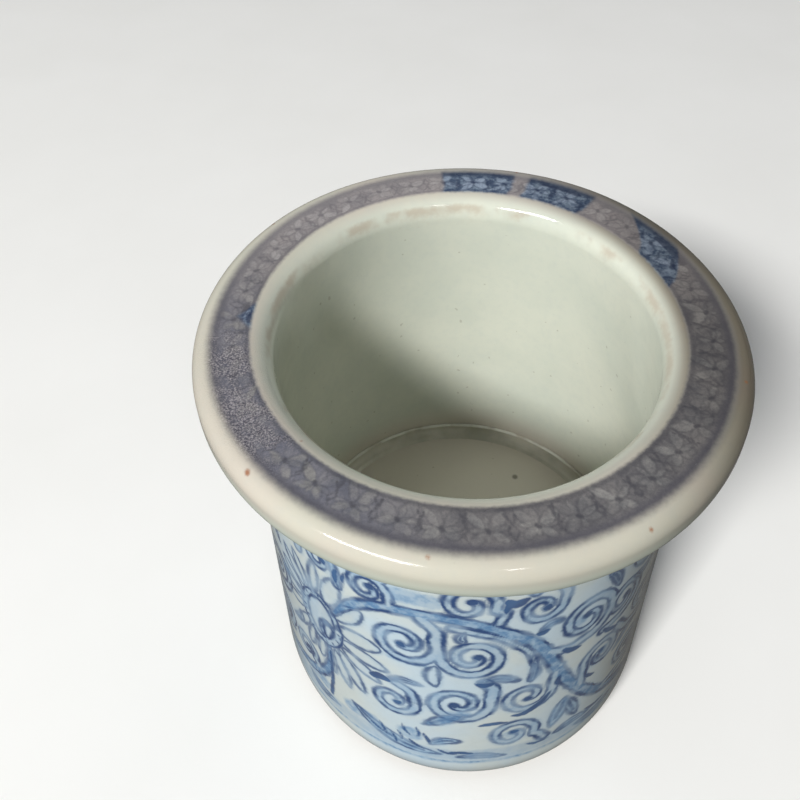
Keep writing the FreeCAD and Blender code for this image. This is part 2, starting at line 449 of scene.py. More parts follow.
# Solid dark touches of a loaded brush: points along the middle, half width
TOUCHES = [
    ([(-24.8, 49.2), (-22.5, 50.6), (-19.8, 50.2)], 1.6),
    ([(-0.5, 56.8), (1.5, 55.4), (4, 56.6)], 1.1),
    ([(8.2, 38.6), (11.5, 38.2), (15.5, 41.5), (18, 46)], 1.1),
    ([(4.5, 91.5), (6.5, 89.5), (9.5, 91.2)], 1.5),
    ([(4.6, 85.8), (5, 88.6), (5, 91.5)], 0.8),
    ([(0.6, 34.6), (4, 35.4), (8.4, 35.2)], 0.9),
    ([(18.8, 64.4), (21, 62.6), (24, 61.6)], 1.2),
    ([(-5.8, 19.2), (-3, 19.4), (0.4, 19.2)], 0.8),
    ([(-31.6, 82), (-31.9, 85), (-31.2, 88.6)], 0.8),
    ([(-29.6, 83.6), (-29.9, 86), (-29, 89)], 0.6),
    ([(12, 76), (13.2, 75.4), (14.6, 76.4)], 1.1),
    ([(19.5, 52), (19.2, 49), (20.8, 46.5)], 0.9),
    ([(-23.5, 26.5), (-22.5, 23.5), (-21.5, 20.5)], 0.55),
    ([(-20.5, 23), (-19.4, 20.5), (-19, 17.5)], 0.50),
    ([(-12.4, 28.5), (-11, 25), (-10.4, 22)], 0.60),
    ([(-17.5, 30.5), (-16.8, 27), (-15.2, 24.6)], 0.45),
    ([(30, 63), (32.5, 60), (36, 58)], 0.9),
    ([(27, 45), (28.6, 42.6), (31, 41)], 0.8),
    ([(-27, 24.8), (-24.6, 22.4), (-21.6, 20.4)], 0.50),
    ([(-16, 22.8), (-14, 20.2), (-11.2, 18.8)], 0.65),
    ([(-19, 25.8), (-17.6, 23), (-17.8, 20.4)], 0.45),
    ([(-14, 30.6), (-13.2, 27.4), (-13.6, 24.8)], 0.45),
    ([(-9, 20.6), (-6.6, 18.8), (-3.4, 18.2)], 0.60),
    ([(13, 20.4), (16, 18.6), (20, 18.4)], 0.60),
    ([(30, 22.6), (33.6, 20.4), (38, 19.8)], 0.70),
]

# Soft pools of thin colour: centre, half length across, half height
WASHES = [
    ((-28.5, 24.5), 6, 3.4), ((-15.5, 26), 3.6, 3.8), ((-4, 41), 3.6, 1.6),
    ((9.5, 28), 2.6, 2.4), ((-15.5, 62.2), 5, 1), ((-2, 61.6), 3.6, 0.9),
    ((-14, 89.5), 6.5, 3), ((32.5, 51), 2.2, 2.2), ((22.5, 74), 2.4, 2.2),
    ((41, 25.5), 4.5, 1.6), ((-43, 24.5), 5.5, 2.8), ((52.5, 62.5), 2.4, 4),
]

FLOWER_CENTRE = (-38.5, 60)
FLOWER_RING = (5.4, 9.6)

# Ring, heart and eye of the flower: layer, centre, radii, half widths at the ends, tone
FLOWER_OVALS = [
    ("vine", FLOWER_CENTRE, FLOWER_RING, 0.9, 1.4, 0.50),
    ("wash", FLOWER_CENTRE, (2.4, 6), 2.4, 2.4, 0.30),
    ("vine", (-36.2, 56), (2.4, 4.2), 0.5, 0.8, 0.60),
]
FLOWER_STEM = [(-36.6, 47), (-36.8, 40), (-37.3, 32), (-38.6, 22)]

# Lines round the body: height, layer, half widths at the ends of each run of the brush, tone
BORDERS = [(14, "wash", 1.1, 1.1, 0.85), (18, "wash", 3.4, 3.4, 0.42), (105.4, "ink", 0.45, 0.30, 0.5)]
BORDER_RUNS = 16
BORDER_OVERLAP = 1.05

# How far (mm) the hand drifts in the second and third repeats
DRIFT = 0.9


def oval(centre, across, up, points=28):
    """A closed path round an ellipse."""
    angle = np.linspace(0, 2 * math.pi, points + 1)
    return np.column_stack([centre[0] + across * np.cos(angle), centre[1] + up * np.sin(angle)])


def tendril_path(centre, lead, radius, start_deg, turns):
    """A path that comes in along the lead points and winds up towards the centre."""
    share = np.linspace(0, 1, max(10, round(abs(turns) * 14)))
    angle = math.radians(start_deg) + 2 * math.pi * turns * share
    reach = radius + (TENDRIL_HEART - radius) * share**1.2
    across = centre[0] + reach * np.cos(angle)
    up = centre[1] + TENDRIL_STRETCH * reach * np.sin(angle)
    return smooth_path([*lead, *np.column_stack([across, up])], per_span=3)


class Unit:
    """One repeat of the scroll, drawn a little differently each time it comes round."""

    def __init__(self, painting, number):
        self.painting = painting
        self.offset = number * UNIT_SPACING
        self.drift = DRIFT if number else 0.0
        self.phase = np.random.default_rng(7 + number).uniform(0, 2 * math.pi, 4)

    def place(self, path):
        """Moves a path to this repeat, bent by the hand's drift."""
        path = np.array(path, float)
        across, up = path[:, 0], path[:, 1]
        sway = np.sin(up / 15 + self.phase[0]) + 0.6 * np.sin(across / 9 + self.phase[1])
        lift = np.sin(across / 17 + self.phase[2]) + 0.5 * np.sin(up / 8 + self.phase[3])
        return np.column_stack([across + self.offset + self.drift * sway, up + self.drift * lift])

    def brush(self, layer, path, half_widths, tone=0.5):
        """Adds a stroke to this repeat."""
        self.painting.brush(layer, self.place(path), half_widths, tone)

    def vine(self):
        """The arching stem and its thin branch, each a band between two dark outlines."""
        stem = smooth_path(VINE)
        widths = np.interp(np.linspace(0, 1, len(stem)), VINE_SHARES, VINE_HALF_WIDTHS)
        self.brush("vine", stem, widths, 0.95)
        branch = smooth_path(VINE_BRANCH)
        self.brush("vine", branch, tapered(len(branch), 1.1, 0.7), 0.45)
        stalk = smooth_path(FLOWER_STEM)
        self.brush("ink", stalk, tapered(len(stalk), 0.45, 0.75))

    def tendrils(self):
        """Curls with a dark heart, each led in from the vine."""
        for centre, lead, radius, start_deg, turns, half_width in TENDRILS:
            path = tendril_path(centre, lead, radius, start_deg, turns)
            self.brush("vine", path, tapered(len(path), half_width, 0.9), 0.50)
            self.brush("ink", path[-5:], tapered(5, 0.4, 1.15))

    def flower(self):
        """Pointed petals round a ring, in two layers so that neighbours keep both outlines."""
        for number, (base, tip, width) in enumerate(PETALS):
            path = np.linspace(base, tip, 11)
            layer = "petal" if number % 2 else "leaf"
            self.brush(layer, path, lens(11, width / 2, 0.7), 0.16)
        for layer, centre, radii, start, end, tone in FLOWER_OVALS:
            ring = oval(centre, *radii)
            self.brush(layer, ring, tapered(len(ring), start, end), tone)
        for angle in np.radians(np.arange(-80, 250, 24)):
            spoke = np.array([math.cos(angle), math.sin(angle)])
            start = np.array(FLOWER_CENTRE) + spoke * FLOWER_RING
            self.brush("ink", [start, start + 2.6 * spoke], [0.42, 0.05])

    def leaves(self):
        """Outlined leaves and buds, with a vein in each that has some wash in it."""
        for points, half_width, depth in LEAVES:
            path = smooth_path(points, 6)
            self.brush("leaf", path, lens(len(path), half_width), depth)
            if depth > VEINED_DEPTH:
                vein = path[2:-3]
                self.brush("petal", vein, tapered(len(vein), 0.04, 0.02), 0.0)

    def touches(self):
        """Short solid strokes, full in the middle."""
        for points, half_width in TOUCHES:
            path = smooth_path(points, 6)
            self.brush("ink", path, lens(len(path), half_width, 0.6))

    def washes(self):
        """Pools with round ends, long across or tall."""
        for (across, up), half_length, half_height in WASHES:
            radius = min(half_length, half_height)
            run, rise = half_length - radius, half_height - radius
            path = [(across - run, up), (across, up + 0.4), (across + run, up)]
            if rise > 0:
                path = [(across, up - rise), (across, up + rise)]
            self.brush("wash", path, tapered(len(path), radius, radius), 0.7)


def paint_borders(painting):
    """The lines and washes round the foot and under the rim, in overlapping runs of the brush."""
    run = WALL_GIRTH / BORDER_RUNS
    for number in range(BORDER_RUNS):
        across = np.linspace(number * run, (number + BORDER_OVERLAP) * run, 9)
        waver = 0.25 * np.sin(across / 13) + 0.15 * np.sin(across / 5 + 1)
        for height, layer, start, end, tone in BORDERS:
            line = np.column_stack([across, height + waver])
            painting.brush(layer, line, tapered(9, start, end), tone)


def paint_body(painting):
    """Everything painted below the rim. Each piece of the body shows the part that is on it."""
    for name in ("leaf", "petal", "vine", "ink", "wash"):
        painting.layer(name)
    for number in range(UNIT_COUNT):
        unit = Unit(painting, number)
        for paint in (unit.washes, unit.flower, unit.vine, unit.tendrils, unit.leaves, unit.touches):
            paint()
    paint_borders(painting)


# ---------------- the band on the rim

BAND_NODES = 39
BAND_INNER = 47.0
BAND_OUTER = 56.0
BAND_SEED = 41

# Petals about each node of the band: direction from straight inwards (deg), length, half width
BAND_PETALS = [(-46, 5, 1.15), (46, 5, 1.15), (-128, 3.8, 1.05), (128, 3.8, 1.05),
               (0, 3.2, 0.70), (-86, 3.6, 0.70), (86, 3.6, 0.70), (180, 2.4, 0.65)]

# Stretches where the print came out blue: middle and half width in degrees from the front,
# and how far the ends lean
BLUE_STRETCHES = [(116.5, 8, 6), (151, 9.3, 0), (174, 10, 0)]
BLUE_CORNER = (-93.5, 5)

# Dark blots where the blue ran: start and end as (direction in degrees, radius), half width
BLUE_BLOTS = [((-97, 49.2), (-93.6, 50), 0.75), ((-91.6, 47.6), (-94.4, 48.3), 0.85),
              ((-93.4, 50.6), (-92.2, 49.6), 0.50), ((110.5, 53.7), (121, 53.9), 0.90),
              ((109.8, 50.6), (112.4, 52.4), 0.60), ((146, 54), (156, 54.2), 0.55)]
SANDY_STRETCH = (-68, 22)

# Iron specks in the glaze: direction (deg), radius, size
IRON_SPECKS = [(-49, 57.9, 0.45), (-11, 57.2, 0.28), (29, 58.6, 0.22), (72, 57.6, 0.25),
               (-128, 58.2, 0.30), (164, 57.5, 0.25), (-47, 46, 0.20)]


def band_across(degrees):
    """Distance round the band for a direction seen from the axis."""
    return math.radians(degrees) * BAND_RADIUS


def band_gap(across, middle):
    """Distance the short way round the band from a direction (degrees), or from several."""
    distance = across - band_across(middle)
    return np.abs((distance + BAND_GIRTH / 2) % BAND_GIRTH - BAND_GIRTH / 2)


def paint_stars(painting):
    """The printed chain of star flowers, each a little different, with zigzags between them."""
    rng = np.random.default_rng(BAND_SEED)
    pitch = BAND_GIRTH / BAND_NODES
    for number in range(BAND_NODES):
        middle = np.array([number * pitch + rng.normal(0, 0.25), BAND_RADIUS + rng.normal(0, 0.15)])
        for count, (direction, length, half_width) in enumerate(BAND_PETALS):
            turn = math.radians(direction + rng.normal(0, 11))
            heading = np.array([math.sin(turn), -math.cos(turn)])
            tip = middle + length * rng.uniform(0.85, 1.12) * heading
            path = np.linspace(middle + 0.45 * heading, tip, 8)
            layer = "star_a" if count % 2 else "star_b"
            tone = rng.uniform(0.15, 0.95)
            painting.brush(layer, path, lens(8, half_width * rng.uniform(0.85, 1.1), 0.6), tone)
        painting.brush("ink", [middle - 0.3, middle + 0.3], [0.25, 0.25], 0.6)
        for side in (-1, 1):
            start = middle + [side * 0.42 * pitch, rng.uniform(-3.4, -2.4)]
            zigzag = [start, start + [side * 0.9, 1.6], start + [0, 3.2], start + [side * 0.9, 4.8]]
            painting.brush("ink", zigzag, tapered(4, 0.16, 0.06), 0.4)


def paint_stretches(painting):
    """Where the print came out blue or sandy, as distances from the ends of each stretch."""
    rows, columns = np.arange(len(painting.up)), np.arange(painting.columns)
    across, radius = np.meshgrid(columns * painting.pitch, painting.up)
    for middle, half_width, slant in BLUE_STRETCHES:
        shift = math.radians(slant) * (radius - BAND_RADIUS) / 4 * BAND_RADIUS
        gap = band_gap(across - shift, middle)
        painting.put("blue", rows, columns, gap - band_across(half_width), 1.0)
    middle, half_width = BLUE_CORNER
    triangle = band_gap(across, middle) + 1.1 * (radius - BAND_INNER) - band_across(half_width)
    painting.put("blue", rows, columns, triangle / 1.5, 1.0)
    middle, half_width = SANDY_STRETCH
    painting.put("sandy", rows, columns, band_gap(across, middle) - band_across(half_width), 1.0)


def paint_band(painting):
    """Everything on the rim: stars, stretches, dark blots and iron specks."""
    for name in ("star_a", "star_b", "ink", "blue", "sandy", "iron"):
        painting.layer(name)
    paint_stars(painting)
    paint_stretches(painting)
    for (start_deg, start_radius), (end_deg, end_radius), half_width in BLUE_BLOTS:
        blot = [(band_across(start_deg), start_radius), (band_across(end_deg), end_radius)]
        painting.brush("ink", smooth_path(blot, 6), tapered(7, half_width, 0.6 * half_width))
    for direction, speck_radius, size in IRON_SPECKS:
        spot = np.array([band_across(direction), speck_radius])
        painting.brush("iron", [spot, spot + 0.1], [size, size], 1.0)


# ---------------- node materials

def srgb(red, green, blue):
    """A linear colour from 0-255 screen values."""
    values = np.array([red, green, blue]) / 255
    linear = np.where(values <= 0.04045, values / 12.92, ((values + 0.055) / 1.055) ** 2.4)
    return (*linear, 1.0)


class Glaze:
    """A Principled material whose colour, roughness and bump come from procedural nodes.

    Most methods add a node and return the socket with its result. Lengths are in millimetres.
    """

    def __init__(self, name, ior=1.5):
        self.material = bpy.data.materials.new(name)
        self.material.use_nodes = True
        self.nodes = self.material.node_tree.nodes
        self.links = self.material.node_tree.links
        self.shader = self.nodes["Principled BSDF"]
        self.shader.inputs["IOR"].default_value = ior
        place = self.nodes.new("ShaderNodeTexCoord")
        scale = self.nodes.new("ShaderNodeVectorMath")
        scale.operation = "SCALE"
        scale.inputs["Scale"].default_value = 1 / MM
        self.links.new(place.outputs["Object"], scale.inputs[0])
        self.place = scale.outputs[0]
        self.relief = None

    def socket(self, target, value):
        """Sets an input from another node's output or from a plain value."""
        if isinstance(value, bpy.types.NodeSocket):
            self.links.new(value, target)
        else:
            target.default_value = value

    def math(self, operation, first, second=0.0, clamp=False):
        """What a math operation makes of one or two values."""
        node = self.nodes.new("ShaderNodeMath")
        node.operation = operation
        node.use_clamp = clamp
        self.socket(node.inputs[0], first)
        self.socket(node.inputs[1], second)
        return node.outputs[0]

    def plus(self, first, second):
        return self.math("ADD", first, second)

    def times(self, first, second, clamp=False):
        return self.math("MULTIPLY", first, second, clamp)

    def gap(self, first, second):
        """How far apart two values are."""
        return self.math("ABSOLUTE", self.math("SUBTRACT", first, second))

    def most(self, values):
        """The largest of several values."""
        most = values[0]
        for value in values[1:]:
            most = self.math("MAXIMUM", most, value)
        return most

    def step(self, value, low, high, start=0.0, end=1.0):
        """A smooth change from start to end while the value goes from low to high."""
        node = self.nodes.new("ShaderNodeMapRange")
        node.interpolation_type = "SMOOTHSTEP"
        self.socket(node.inputs["Value"], value)
        for name, number in (("From Min", low), ("From Max", high), ("To Min", start), ("To Max", end)):
            self.socket(node.inputs[name], number)
        return node.outputs[0]

    def mix(self, share, first, second, blend="MIX"):
        """The first colour with a share of the second in it, or multiplied by it."""
        node = self.nodes.new("ShaderNodeMix")
        node.data_type = "RGBA"
        node.blend_type = blend
        self.socket(node.inputs["Factor"], share)
        self.socket(node.inputs[6], first)
        self.socket(node.inputs[7], second)
        return node.outputs[2]

    def of_place(self, operation, vector, output="Value"):
        """What a vector operation makes of the place on the object and a fixed vector."""
        node = self.nodes.new("ShaderNodeVectorMath")
        node.operation = operation
        self.links.new(self.place, node.inputs[0])
        node.inputs[1].default_value = vector
        return node.outputs[output]

    def height(self):
        """Height above the foot."""
        return self.of_place("DOT_PRODUCT", (0, 0, 1))

    def toward(self, azimuth_deg):
        """Distance from the axis in a level direction, counted from the front to the right."""
        azimuth = math.radians(azimuth_deg)
        return self.of_place("DOT_PRODUCT", (math.sin(azimuth), -math.cos(azimuth), 0))

    def noise(self, wavelength, detail=2.0, roughness=0.5, stretch=None):
        """Soft random values from 0 to 1, with features about a wavelength across."""
        node = self.nodes.new("ShaderNodeTexNoise")
        place = self.of_place("MULTIPLY", stretch, "Vector") if stretch else self.place
        self.links.new(place, node.inputs["Vector"])
        node.inputs["Scale"].default_value = 1 / wavelength
        node.inputs["Detail"].default_value = detail
        node.inputs["Roughness"].default_value = roughness
        return node.outputs["Fac"]

    def tremble(self, wavelength, size):
        """A small unevenness either way, to add to the distance from a brushed edge."""
        return self.times(self.math("SUBTRACT", self.noise(wavelength, 3.0, 0.6), 0.5), size)

    def painted(self, name):
        """A value that the brushwork stored on the mesh."""
        node = self.nodes.new("ShaderNodeAttribute")
        node.attribute_name = name
        return node.outputs["Fac"]

    def filled(self, layer, tremble, low, high, most=1.0):
        """How much colour a layer gives: most inside its shapes and none outside."""
        return self.step(self.plus(self.painted(layer), tremble), low, high, most, 0.0)

    def add_bump(self, value, depth):
        """Adds a relief of this depth to the surface."""
        part = self.times(value, depth * MM)
        self.relief = part if self.relief is None else self.plus(self.relief, part)

    def finish(self, colour, roughness):
        """Joins everything to the shader, and gives the material."""
        self.socket(self.shader.inputs["Base Color"], colour)
        self.socket(self.shader.inputs["Roughness"], roughness)
        bump = self.nodes.new("ShaderNodeBump")
        bump.inputs["Distance"].default_value = 1.0
        self.links.new(self.relief, bump.inputs["Height"])
        self.links.new(bump.outputs["Normal"], self.shader.inputs["Normal"])
        return self.material


COBALT_DARK = srgb(18, 60, 116)
COBALT_LINE = srgb(50, 104, 158)
COBALT_WASH = srgb(122, 162, 200)
BODY_GROUND = srgb(200, 219, 231)
BODY_WARM = srgb(209, 219, 218)
MOTTLE = srgb(170, 182, 184)
CREAM = srgb(198, 196, 182)
CREAM_PINK = srgb(200, 193, 181)
CREAM_GREEN = srgb(190, 203, 192)
# Grey of the painted shade on the roll towards the back right
CREAM_SHADE_GREY = srgb(142, 141, 140)
THIN_EDGE = srgb(172, 152, 132)
CELADON = srgb(213, 216, 203)
CELADON_DEEP = srgb(205, 210, 198)
FLOOR_GREY = srgb(210, 203, 192)
FLOOR_SPECK = srgb(84, 76, 68)
PINHOLE = srgb(120, 110, 90)
# Pooled glaze over the coil, with painted shade that darkens the inside corner
COIL_POOL_AND_SHADE = (srgb(204, 199, 186), srgb(180, 177, 163))
# A painted highlight along the coil's crest
COIL_CREST_HIGHLIGHT = srgb(226, 226, 216)
CLAY = (srgb(214, 204, 188), srgb(196, 180, 160))
GRIT = srgb(130, 105, 85)
# Painted shade, multiplied into the wall and the rim on their right side
SHADE_TINT = srgb(124, 115, 104)
IRON_SPECK = srgb(150, 92, 56)

# The printed band: its slate ground from thick to thin ink, its petals and its dark lines, in
# front and then at the left, at the back and in the blue stretches
SLATE = (srgb(94, 93, 97), srgb(124, 121, 121))
SLATE_LEFT = (srgb(98, 101, 116), srgb(124, 124, 134))
SLATE_BACK = (srgb(132, 128, 131), srgb(156, 150, 150))
SLATE_BLUE = (srgb(68, 84, 108), srgb(122, 138, 156))
PETAL = (srgb(120, 120, 121), srgb(146, 144, 142))
PETAL_BACK = srgb(168, 164, 164)
PETAL_BLUE = srgb(150, 164, 184)
LINE = srgb(66, 66, 73)
LINE_BACK = srgb(106, 103, 108)
LINE_BLUE = srgb(34, 44, 72)
BORDER = srgb(86, 85, 93)
BORDER_BACK = srgb(128, 125, 128)
BORDER_BLUE = srgb(44, 55, 78)
GRAINS = (srgb(72, 70, 80), srgb(188, 182, 184))

# Sides (deg from the front to the right) towards which painted shade darkens the wall and the rim
# and turns the roll grey, and the band turns bluer or paler
WALL_SHADE_SIDE = 80
RIM_SHADE_SIDE = 97
ROLL_SHADE_SIDE = 150
LEFT_SIDE = -62
BACK_SIDE = 180

# Radii between which the print's outer border gets its colour
BORDER_START = (53.2, 55)

# How dark the outlines of each layer of brushwork are
LINE_STRENGTH = {"leaf": 0.84, "petal": 0.84, "vine": 1.0}

# A dark speck on the floor inside
FLOOR_SPECK_PLACE = (17.5, 26.1, FLOOR_HEIGHT)


def glossy_finish(glaze, smooth=0.07, dull=0.16):
    """Roughness and relief of a fired glaze: orange peel, slow ripples and a few pits."""
    glaze.add_bump(glaze.noise(1.6), 0.010)
    glaze.add_bump(glaze.noise(9, 1), 0.05)
    glaze.add_bump(glaze.noise(7, 1, stretch=(0.15, 0.15, 1)), 0.05)
    glaze.add_bump(glaze.step(glaze.noise(0.7, 1), 0.76, 0.82), -0.03)
    return glaze.step(glaze.noise(14, 3, 0.6), 0.35, 0.7, smooth, dull)


def glazed_ground(glaze, first, second, wavelength=30):
    """A ground colour that drifts between two tints, with fine mottling."""
    drift = glaze.step(glaze.noise(wavelength, 3, 0.55), 0.35, 0.68)
    mottle = glaze.step(glaze.noise(2.2, 3, 0.65), 0.40, 0.75, 0, 0.10)
    return glaze.mix(mottle, glaze.mix(drift, first, second), MOTTLE)


def body_glaze():
    """Bluish white glaze over cobalt brushwork: dark lines, thin fills and soft pools, and painted
    shade that darkens its right side.
    """
    glaze = Glaze("body_glaze")
    tremble = glaze.tremble(1.5, 0.75)
    load = glaze.step(glaze.noise(6), 0.32, 0.66, 0.42, 1)
    pressure = glaze.step(glaze.noise(5), 0.34, 0.66, 0.55, 1.30)

    lines, fills, bleed = [], [], []
    for layer, strength in LINE_STRENGTH.items():
        edge = glaze.plus(glaze.painted(layer), tremble)
        gap = glaze.math("ABSOLUTE", edge)
        lines.append(glaze.step(gap, 0.14, pressure, strength, 0))
        bleed.append(glaze.step(gap, 0.1, 1.5, 1, 0))
        inside = glaze.step(edge, -0.5, 0.15, 1, 0)
        fills.append(glaze.times(inside, glaze.painted(layer + "_tone")))
    pool = glaze.filled("wash", glaze.times(tremble, 2), -1.3, 0.5)
    fills.append(glaze.times(pool, glaze.painted("wash_tone")))
    ink = glaze.filled("ink", tremble, -0.35, 0.35)

    streaks = glaze.step(glaze.noise(3.2, 3, 0.6), 0.30, 0.70, 0.60, 1.10)
    fill = glaze.times(glaze.most(fills), streaks, clamp=True)
    colour = glaze.mix(fill, glazed_ground(glaze, BODY_GROUND, BODY_WARM, 22), COBALT_WASH)
    colour = glaze.mix(glaze.step(fill, 0.50, 1.1, 0, 0.6), colour, COBALT_LINE)
    colour = glaze.mix(glaze.times(glaze.most(bleed), 0.38), colour, COBALT_WASH)
    line = glaze.times(glaze.most(lines), glaze.times(load, 0.95))
    cobalt = glaze.most([line, glaze.times(ink, 0.92)])
    colour = glaze.mix(cobalt, colour, glaze.mix(load, COBALT_LINE, COBALT_DARK))
    # Painted shade: the wall darkens towards its right side
    painted_shade = glaze.step(glaze.toward(WALL_SHADE_SIDE), 30, 50, 0, 0.52)
    colour = glaze.mix(painted_shade, colour, SHADE_TINT, "MULTIPLY")
    roughness = glossy_finish(glaze)
    glaze.add_bump(cobalt, -0.012)
    return glaze.finish(colour, roughness)


def band_colours(glaze, tremble):
    """The print's ground, petals, dark lines and outer border, by their place on the rim."""
    blue = glaze.filled("blue", tremble, -0.8, 0.6)
    back = glaze.step(glaze.toward(BACK_SIDE), -10, 45)
    left = glaze.step(glaze.toward(LEFT_SIDE), 25, 56)
    thin = glaze.step(glaze.noise(5, 4, 0.65), 0.3, 0.7)
    blue_thin = glaze.step(glaze.noise(1.8, 3, 0.6), 0.38, 0.64)
    slate = glaze.mix(left, glaze.mix(thin, *SLATE), glaze.mix(thin, *SLATE_LEFT))
    slate = glaze.mix(back, slate, glaze.mix(thin, *SLATE_BACK))
    slate = glaze.mix(blue, slate, glaze.mix(blue_thin, *SLATE_BLUE))
    petal = glaze.mix(blue, glaze.mix(back, glaze.mix(thin, *PETAL), PETAL_BACK), PETAL_BLUE)
    line = glaze.mix(blue, glaze.mix(back, LINE, LINE_BACK), LINE_BLUE)
    border = glaze.mix(blue, glaze.mix(back, BORDER, BORDER_BACK), BORDER_BLUE)
    return slate, petal, line, border


def band_print(glaze, radius, tremble):
    """The smoky print on the flat of the rim, and where its grains stand up."""
    band, petal, dark, border = band_colours(glaze, tremble)
    worn = glaze.step(glaze.noise(3.6, 3, 0.6), 0.36, 0.60, 0.25, 1)
    for layer in ("star_a", "star_b"):
        edge = glaze.plus(glaze.painted(layer), tremble)
        inside = glaze.step(edge, -0.55, 0.25, 1, 0)
        printed = glaze.times(worn, glaze.painted(layer + "_tone"))
        band = glaze.mix(glaze.times(inside, printed), band, petal)
        line = glaze.step(glaze.math("ABSOLUTE", edge), 0, 0.45, 0.24, 0)
        band = glaze.mix(line, band, dark)
    band = glaze.mix(glaze.filled("ink", tremble, -0.2, 0.4, 0.65), band, dark)
    outer = glaze.step(glaze.plus(radius, tremble), *BORDER_START, 0, 0.8)
    band = glaze.mix(outer, band, border)
    inner_gap = glaze.plus(glaze.gap(radius, BAND_INNER + 0.7), tremble)
    band = glaze.mix(glaze.step(inner_gap, 0.1, 0.7, 0.35, 0), band, dark)
    hatching = glaze.step(glaze.noise(0.55, 3, 0.8), 0.42, 0.62, 0, 0.22)
    band = glaze.mix(hatching, band, dark)

    sandy = glaze.step(glaze.painted("sandy"), -9, 4, 1, 0)
    grains = glaze.step(glaze.noise(0.40, 3, 0.8), 0.42, 0.64)
    patches = glaze.step(glaze.noise(3.5), 0.36, 0.56, 0.15, 0.6)
    band = glaze.mix(glaze.times(sandy, patches), band, glaze.mix(grains, *GRAINS))
    return band, glaze.times(sandy, grains)


def rim_glaze():
    """Cream glaze on the roll, greener below, with the smoky printed band on the flat top, painted
    shade that darkens the right side, and grey painted shade on the roll towards the back right.
    """
    glaze = Glaze("rim_glaze")
    radius = glaze.painted("radius")
    tremble = glaze.tremble(1.2, 0.7)
    wavering = glaze.plus(radius, tremble)

    colour = glazed_ground(glaze, CREAM, CREAM_PINK)
    low_down = glaze.step(glaze.height(), RIM_UNDERSIDE + 2, RIM_UNDERSIDE + 8, 1, 0)
    colour = glaze.mix(low_down, colour, CREAM_GREEN)
    # Painted shade: the rim turns grey towards the back right
    colour = glaze.mix(glaze.step(glaze.toward(ROLL_SHADE_SIDE), 32, 58, 0, 0.6), colour, CREAM_SHADE_GREY)
    mouth = glaze.step(radius, MOUTH_RADIUS + 1, BAND_INNER, 1, 0)
    colour = glaze.mix(mouth, colour, glazed_ground(glaze, CELADON, CELADON_DEEP))

    band, grit = band_print(glaze, radius, tremble)
    outside = glaze.step(wavering, BAND_OUTER - 1.1, BAND_OUTER + 1.5, 1, 0)
    on_band = glaze.times(outside, glaze.step(wavering, BAND_INNER - 0.6, BAND_INNER + 0.5))
    colour = glaze.mix(on_band, colour, band)

    # Painted shade: the roll darkens towards the right side, the band on the flat top less so, the
    # mouth not at all
    off_band = glaze.step(radius, MOUTH_RADIUS + 0.5, BAND_INNER, 0, 0.88)
    painted_shade = glaze.step(glaze.toward(RIM_SHADE_SIDE), 12, 53)
    painted_shade = glaze.times(painted_shade, glaze.step(on_band, 0, 1, off_band, 0.46))
    colour = glaze.mix(painted_shade, colour, SHADE_TINT, "MULTIPLY")
    edge = glaze.step(glaze.plus(glaze.gap(radius, MOUTH_RADIUS + 0.9), tremble), 0.1, 1, 0.50, 0)
    edge = glaze.times(edge, glaze.step(glaze.noise(8, 3), 0.38, 0.60))
    colour = glaze.mix(edge, colour, THIN_EDGE)
    colour = glaze.mix(glaze.filled("iron", tremble, -0.3, 0.35, 0.85), colour, IRON_SPECK)
    roughness = glaze.plus(glossy_finish(glaze), glaze.times(on_band, 0.12))
    glaze.add_bump(grit, 0.03)
    return glaze.finish(colour, roughness)


def interior_glaze():
    """Pale celadon inside, with pinholes and faint rings from the thrower's fingers."""
    glaze = Glaze("interior_glaze")
    low_down = glaze.step(glaze.height(), FLOOR_HEIGHT + 1, FLOOR_HEIGHT + 14, 1, 0)
    colour = glaze.mix(low_down, glazed_ground(glaze, CELADON, CELADON_DEEP), FLOOR_GREY)
    pinholes = glaze.step(glaze.noise(1.4, 0), 0.82, 0.86, 0, 0.3)
    colour = glaze.mix(pinholes, colour, PINHOLE)
    speck = glaze.step(glaze.of_place("DISTANCE", FLOOR_SPECK_PLACE), 0.4, 1.2, 0.7, 0)
    colour = glaze.mix(speck, colour, FLOOR_SPECK)
    roughness = glossy_finish(glaze)
    glaze.add_bump(glaze.noise(5, 1, stretch=(0.05, 0.05, 1)), 0.08)
    return glaze.finish(colour, roughness)


def coil_glaze():
    """The celadon where it pools thick and clear over the coil, darkened by painted shade in the
    corner, with a broken painted highlight along its crest.
    """
    glaze = Glaze("coil_glaze")
    # Painted highlight along the crest, broken up by noise
    crest_highlight = glaze.step(glaze.height(), COIL_TOP - 0.3, COIL_TOP + 0.2)
    crest_highlight = glaze.times(crest_highlight, glaze.step(glaze.noise(7), 0.42, 0.60))
    # Pooled glaze darkened by painted shade in the corner, under the painted highlight
    colour = glaze.mix(crest_highlight, glazed_ground(glaze, *COIL_POOL_AND_SHADE, 8), COIL_CREST_HIGHLIGHT)
    roughness = glossy_finish(glaze, 0.05, 0.12)
    glaze.add_bump(glaze.noise(4), 0.12)
    return glaze.finish(colour, roughness)


def bare_clay():
    """Unglazed porcelain of the foot and of the faces that are joined: dry, warm and gritty."""
    glaze = Glaze("bare_clay", ior=1.45)
    grit = glaze.step(glaze.noise(0.5, 0), 0.66, 0.74, 0, 0.5)
    colour = glaze.mix(grit, glaze.mix(glaze.noise(10, 4, 0.6), *CLAY), GRIT)
    glaze.add_bump(glaze.noise(0.35, 3, 0.7), 0.05)
    glaze.add_bump(glaze.noise(3, stretch=(0.3, 0.3, 1)), 0.05)
    return glaze.finish(colour, glaze.step(glaze.noise(2), 0.3, 0.7, 0.72, 0.9))


